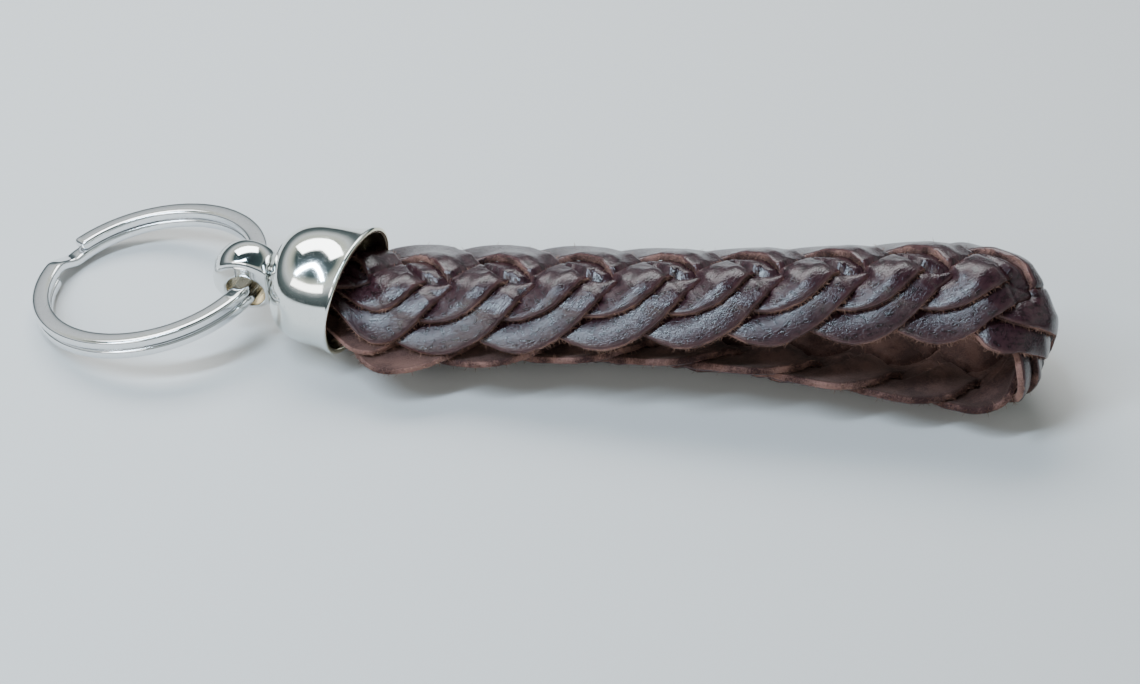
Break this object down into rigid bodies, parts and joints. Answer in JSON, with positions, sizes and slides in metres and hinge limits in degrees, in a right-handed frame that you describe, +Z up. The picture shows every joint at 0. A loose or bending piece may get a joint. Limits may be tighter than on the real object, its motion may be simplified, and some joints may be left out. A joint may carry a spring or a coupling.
{
  "type": "wristlet keychain",
  "caption": "Wristlet keychain: a split ring turns and swings on a swivel eye riveted to a bell-mouthed end cap that holds a folded braided leather strap.",
  "frame": {"origin": "centre of the whole part's box in plan, on the surface that it rests on", "axes": "+Z up; +X along the axis of the cap and swivel, from the ring to the strap's loop; +Y to the far side of the strap"},
  "size_m": [0.1258, 0.0346, 0.0204],
  "materials": {
    "ring_nickel": "polished nickel plate, finely scratched",
    "eye_nickel": "polished nickel plate, finely scratched",
    "cap_nickel": "mirror-polished nickel plate",
    "washer_steel": "plain steel",
    "lace_leather": "waxed dark brown, pale cut edges",
    "waxed_thread": "waxed twisted thread",
    "dried_glue": "dried glue"
  },
  "bodies": {
    "strap": {"end_cap": "cap_nickel", "swivel_washer": "washer_steel", "glue_plug": "dried_glue", "whipping_thread": "waxed_thread", "lace_1": "lace_leather", "lace_2": "lace_leather", "lace_3": "lace_leather", "lace_4": "lace_leather", "lace_5": "lace_leather", "lace_6": "lace_leather"},
    "eye": {"swivel_eye": "eye_nickel"},
    "ring": {"split_ring": "ring_nickel"}
  },
  "joints": [
    {"name": "swivel", "type": "hinge", "parent": "strap", "child": "eye", "pos_m": [-0.03152, -0.00311, 0.00813], "axis": [1, 0, 0], "continuous": true},
    {"name": "ring_swing", "type": "hinge", "parent": "eye", "child": "ring", "pos_m": [-0.03447, -0.00301, 0.00709], "axis": [0.0523, 0.9986, 0], "range_deg": [-45, 110]}
  ]
}
